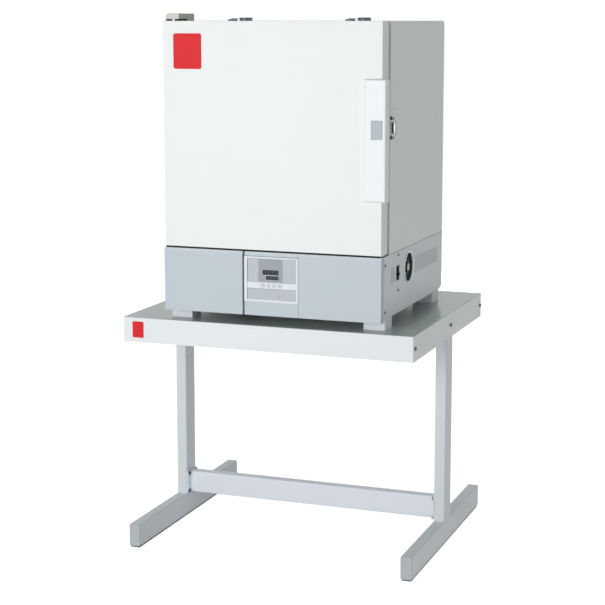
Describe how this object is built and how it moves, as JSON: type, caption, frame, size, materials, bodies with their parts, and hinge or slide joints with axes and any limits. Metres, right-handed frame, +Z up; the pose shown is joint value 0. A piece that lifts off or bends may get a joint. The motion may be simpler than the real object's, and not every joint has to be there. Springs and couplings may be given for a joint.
{
  "type": "laboratory drying oven",
  "caption": "Bench-top drying oven with a side-hinged insulated door, push-button latch handle, front control panel and side intake dial, on its tubular steel stand.",
  "frame": {"origin": "on the floor under the middle of the whole's bounding box", "axes": "+X to the right seen from the front, +Y from the door to the rear, +Z up"},
  "size_m": [0.786, 0.682, 1.396],
  "materials": {
    "enamel_white": "smooth semi-gloss enamel",
    "panel_grey": "semi-gloss blue-grey enamel",
    "stand_enamel": "semi-gloss powder coat",
    "stainless": "brushed stainless sheet",
    "zinc": "zinc-plated sheet",
    "screw_steel": "nickel-plated",
    "white_plastic": "fine-textured",
    "dark_plastic": "satin",
    "button_plastic": "satin",
    "window": "clear dark tint",
    "rubber": "matt",
    "silicone": "matt silicone",
    "mineral_wool": "fibrous",
    "board": "solder mask",
    "red_enamel": "gloss enamel",
    "bronze": "sintered"
  },
  "bodies": {
    "oven_and_stand": {"stand_top": "stand_enamel", "stand_rails": "zinc", "stand_post_left": "stand_enamel", "stand_post_right": "stand_enamel", "stand_crossbar": "stand_enamel", "stand_foot_left": "stand_enamel", "stand_foot_right": "stand_enamel", "stand_end_caps": "white_plastic", "stand_glides": "rubber", "stand_fasteners": "screw_steel", "blank_plates": "red_enamel", "oven_feet": "white_plastic", "base_chassis": "zinc", "base_side_left": "enamel_white", "base_side_right": "enamel_white", "lower_front_left": "panel_grey", "lower_front_center": "panel_grey", "lower_front_right": "panel_grey", "control_bezel": "white_plastic", "display_windows": "window", "control_electronics": "board", "intake_dish": "dark_plastic", "intake_duct": "zinc", "breaker_body": "dark_plastic", "rear_cover": "enamel_white", "cable_gland": "dark_plastic", "casing_side_left": "enamel_white", "casing_side_right": "enamel_white", "casing_top": "enamel_white", "front_frame": "stainless", "chamber_liner": "stainless", "chamber_floor_plate": "stainless", "chamber_insulation": "mineral_wool", "heater_element": "stainless", "shelf_supports": "stainless", "shelf_lower": "stainless", "shelf_upper": "stainless", "chamber_probe": "stainless", "exhaust_collars": "dark_plastic", "hinge_brackets": "stainless", "top_hinge_cover": "enamel_white", "latch_keeper": "zinc", "panel_screws": "screw_steel"},
    "door": {"door_outer_panel": "enamel_white", "door_insulation": "mineral_wool", "door_inner_panel": "stainless", "door_gasket": "silicone", "hinge_bushes": "bronze", "door_handle": "enamel_white", "door_plate": "red_enamel"},
    "latch_button": {"latch_button": "button_plastic"},
    "latch_lever": {"latch_lever": "zinc"},
    "intake_dial": {"intake_dial": "dark_plastic"},
    "breaker_toggle": {"breaker_toggle": "dark_plastic"},
    "exhaust_lid_left": {"exhaust_lid_left": "white_plastic"},
    "exhaust_lid_right": {"exhaust_lid_right": "white_plastic"},
    "key_left": {"key_left": "white_plastic"},
    "key_mid_left": {"key_mid_left": "white_plastic"},
    "key_mid_right": {"key_mid_right": "white_plastic"},
    "key_right": {"key_right": "white_plastic"}
  },
  "joints": [
    {"name": "door_hinge", "type": "hinge", "parent": "oven_and_stand", "child": "door", "pos_m": [-0.261, -0.312, 1.094], "axis": [0, 0, 1], "range_deg": [-120, 0]},
    {"name": "latch_button_press", "type": "slide", "parent": "door", "child": "latch_button", "axis": [0, 1, 0], "range_m": [0, 0.0024], "stiffness_N_per_m": 900},
    {"name": "latch_lever_pivot", "type": "hinge", "parent": "door", "child": "latch_lever", "pos_m": [0.3105, -0.32, 1.1185], "axis": [0, 0, 1], "range_deg": [-4.6, 0]},
    {"name": "intake_dial_turn", "type": "hinge", "parent": "oven_and_stand", "child": "intake_dial", "pos_m": [0.306, -0.1, 0.7543], "axis": [1, 0, 0], "range_deg": [0, 60]},
    {"name": "breaker_toggle_throw", "type": "hinge", "parent": "oven_and_stand", "child": "breaker_toggle", "pos_m": [0.3, -0.1946, 0.753], "axis": [0, 1, 0], "range_deg": [-40, 0]},
    {"name": "exhaust_lid_left_swing", "type": "hinge", "parent": "oven_and_stand", "child": "exhaust_lid_left", "pos_m": [-0.184, -0.085, 1.384], "axis": [0, 0, 1], "range_deg": [0, 90]},
    {"name": "exhaust_lid_right_swing", "type": "hinge", "parent": "oven_and_stand", "child": "exhaust_lid_right", "pos_m": [0.141, -0.085, 1.384], "axis": [0, 0, 1], "range_deg": [0, 90]},
    {"name": "key_left_press", "type": "slide", "parent": "oven_and_stand", "child": "key_left", "axis": [0, 1, 0], "range_m": [0, 0.0008], "stiffness_N_per_m": 400},
    {"name": "key_mid_left_press", "type": "slide", "parent": "oven_and_stand", "child": "key_mid_left", "axis": [0, 1, 0], "range_m": [0, 0.0008], "stiffness_N_per_m": 400},
    {"name": "key_mid_right_press", "type": "slide", "parent": "oven_and_stand", "child": "key_mid_right", "axis": [0, 1, 0], "range_m": [0, 0.0008], "stiffness_N_per_m": 400},
    {"name": "key_right_press", "type": "slide", "parent": "oven_and_stand", "child": "key_right", "axis": [0, 1, 0], "range_m": [0, 0.0008], "stiffness_N_per_m": 400}
  ],
  "couplings": [
    {"joint": "latch_lever_pivot", "follows": "latch_button_press", "rad_per_m": -33.333}
  ]
}
